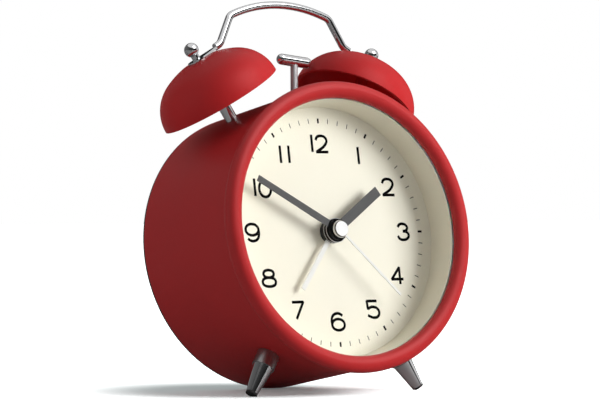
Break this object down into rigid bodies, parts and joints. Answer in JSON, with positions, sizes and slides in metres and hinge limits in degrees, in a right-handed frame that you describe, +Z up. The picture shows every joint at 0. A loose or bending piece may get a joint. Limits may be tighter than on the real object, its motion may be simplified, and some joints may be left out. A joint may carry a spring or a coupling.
{
  "type": "twin bell alarm clock",
  "caption": "Round desk alarm clock that leans back on splayed feet, with bells, a hammer between them and a wire handle on top, and a plain numbered dial.",
  "frame": {"origin": "on the table, in the middle of the clock's width and of its depth from the bezel to the setting knobs", "axes": "+Z up, the dial faces -Y and leans back by 10 degrees, +X to the viewer's right"},
  "size_m": [0.116, 0.0849, 0.1565],
  "materials": {
    "red_enamel": "satin powder coat",
    "glass": "clear, polished",
    "clear_rubber": "satin",
    "cream_plastic": "satin",
    "dial_paper": "matte",
    "white_plastic": "satin",
    "steel": "bright",
    "black_rubber": "matte",
    "chrome": "mirror",
    "magnet": "matte",
    "brass": "satin",
    "black_plastic": "fine texture",
    "copper": "enamelled wire",
    "board": "satin",
    "silver_hand": "satin",
    "dark_hand": "satin",
    "cell_wrap": "glossy"
  },
  "bodies": {
    "clock": {"case_shell": "red_enamel", "lens": "glass", "lens_seal": "clear_rubber", "dial_ring": "cream_plastic", "dial": "dial_paper", "dial_carrier": "white_plastic", "left_bell": "red_enamel", "right_bell": "red_enamel", "left_bell_post": "steel", "right_bell_post": "steel", "bell_washers": "black_rubber", "bell_nuts": "chrome", "post_nuts": "steel", "handle": "chrome", "left_foot": "chrome", "right_foot": "chrome", "foot_collars": "chrome", "foot_nuts": "steel", "foot_tips": "black_rubber", "movement_front": "black_plastic", "movement_rear": "black_plastic", "stator": "steel", "coil": "copper", "circuit_board": "board", "crystal": "steel", "hammer_bracket": "steel", "hammer_pin": "steel", "alarm_motor": "steel", "back_cover": "black_plastic", "cover_screws": "steel", "battery_1": "cell_wrap", "battery_2": "cell_wrap", "battery_contacts": "steel", "switch_housing": "black_plastic"},
    "seconds": {"second_wheel": "steel", "second_hand": "silver_hand", "hand_cap": "chrome"},
    "minutes": {"center_wheel": "brass", "minute_hand": "dark_hand"},
    "hours": {"hour_wheel": "white_plastic", "hour_hand": "dark_hand"},
    "alarm_setting": {"alarm_wheel": "white_plastic", "alarm_hand": "silver_hand"},
    "motion": {"motion_wheel": "white_plastic"},
    "third": {"third_wheel": "white_plastic"},
    "intermediate": {"intermediate_wheel": "white_plastic"},
    "stepper": {"rotor": "magnet"},
    "time_setter": {"time_knob": "black_plastic"},
    "alarm_setter": {"alarm_knob": "black_plastic"},
    "hammer": {"hammer_arm": "steel", "hammer_head": "chrome"},
    "crank": {"motor_crank": "white_plastic"},
    "switch": {"alarm_switch": "white_plastic"},
    "door": {"battery_door": "black_plastic"}
  },
  "joints": [
    {"name": "second_spin", "type": "hinge", "parent": "clock", "child": "seconds", "pos_m": [0, -0.00419, 0.06155], "axis": [0, -0.9848, 0.1736], "continuous": true},
    {"name": "minute_spin", "type": "hinge", "parent": "clock", "child": "minutes", "pos_m": [0, -0.00419, 0.06155], "axis": [0, -0.9848, 0.1736], "continuous": true},
    {"name": "hour_spin", "type": "hinge", "parent": "clock", "child": "hours", "pos_m": [0, -0.00419, 0.06155], "axis": [0, -0.9848, 0.1736], "continuous": true},
    {"name": "motion_spin", "type": "hinge", "parent": "clock", "child": "motion", "pos_m": [0.00909, -0.0051, 0.05638], "axis": [0, -0.9848, 0.1736], "continuous": true},
    {"name": "third_spin", "type": "hinge", "parent": "clock", "child": "third", "pos_m": [0, -0.00632, 0.0495], "axis": [0, -0.9848, 0.1736], "continuous": true},
    {"name": "intermediate_spin", "type": "hinge", "parent": "clock", "child": "intermediate", "pos_m": [-0.00504, -0.00267, 0.07015], "axis": [0, -0.9848, 0.1736], "continuous": true},
    {"name": "rotor_spin", "type": "hinge", "parent": "clock", "child": "stepper", "pos_m": [-0.00504, -0.00118, 0.07866], "axis": [0, -0.9848, 0.1736], "continuous": true},
    {"name": "time_knob_spin", "type": "hinge", "parent": "clock", "child": "time_setter", "pos_m": [0.01819, -0.00419, 0.06155], "axis": [0, -0.9848, 0.1736], "continuous": true},
    {"name": "alarm_knob_spin", "type": "hinge", "parent": "clock", "child": "alarm_setter", "pos_m": [-0.01819, -0.00419, 0.06155], "axis": [0, -0.9848, 0.1736], "continuous": true},
    {"name": "alarm_hand_spin", "type": "hinge", "parent": "clock", "child": "alarm_setting", "pos_m": [0, -0.00419, 0.06155], "axis": [0, -0.9848, 0.1736], "continuous": true},
    {"name": "motor_spin", "type": "hinge", "parent": "clock", "child": "crank", "pos_m": [0, 0.00032, 0.08716], "axis": [0, -0.9848, 0.1736], "continuous": true},
    {"name": "hammer_swing", "type": "hinge", "parent": "clock", "child": "hammer", "pos_m": [0, 0.00887, 0.10393], "axis": [0, -0.9848, 0.1736], "range_deg": [0, 12.8]},
    {"name": "alarm_switch_slide", "type": "slide", "parent": "clock", "child": "switch", "axis": [1, 0, 0], "range_m": [0, 0.006]},
    {"name": "battery_door_swing", "type": "hinge", "parent": "clock", "child": "door", "pos_m": [0, 0.02659, 0.00982], "axis": [-1, 0, 0], "range_deg": [0, 90]}
  ],
  "couplings": [
    {"joint": "minute_spin", "follows": "second_spin", "ratio": 0.016667},
    {"joint": "hour_spin", "follows": "second_spin", "ratio": 0.0013889},
    {"joint": "motion_spin", "follows": "second_spin", "ratio": -0.0055556},
    {"joint": "third_spin", "follows": "second_spin", "ratio": -0.13333},
    {"joint": "intermediate_spin", "follows": "second_spin", "ratio": -6},
    {"joint": "rotor_spin", "follows": "second_spin", "ratio": 30},
    {"joint": "time_knob_spin", "follows": "second_spin", "ratio": 0.016667},
    {"joint": "alarm_hand_spin", "follows": "alarm_knob_spin", "ratio": -1.1429}
  ]
}
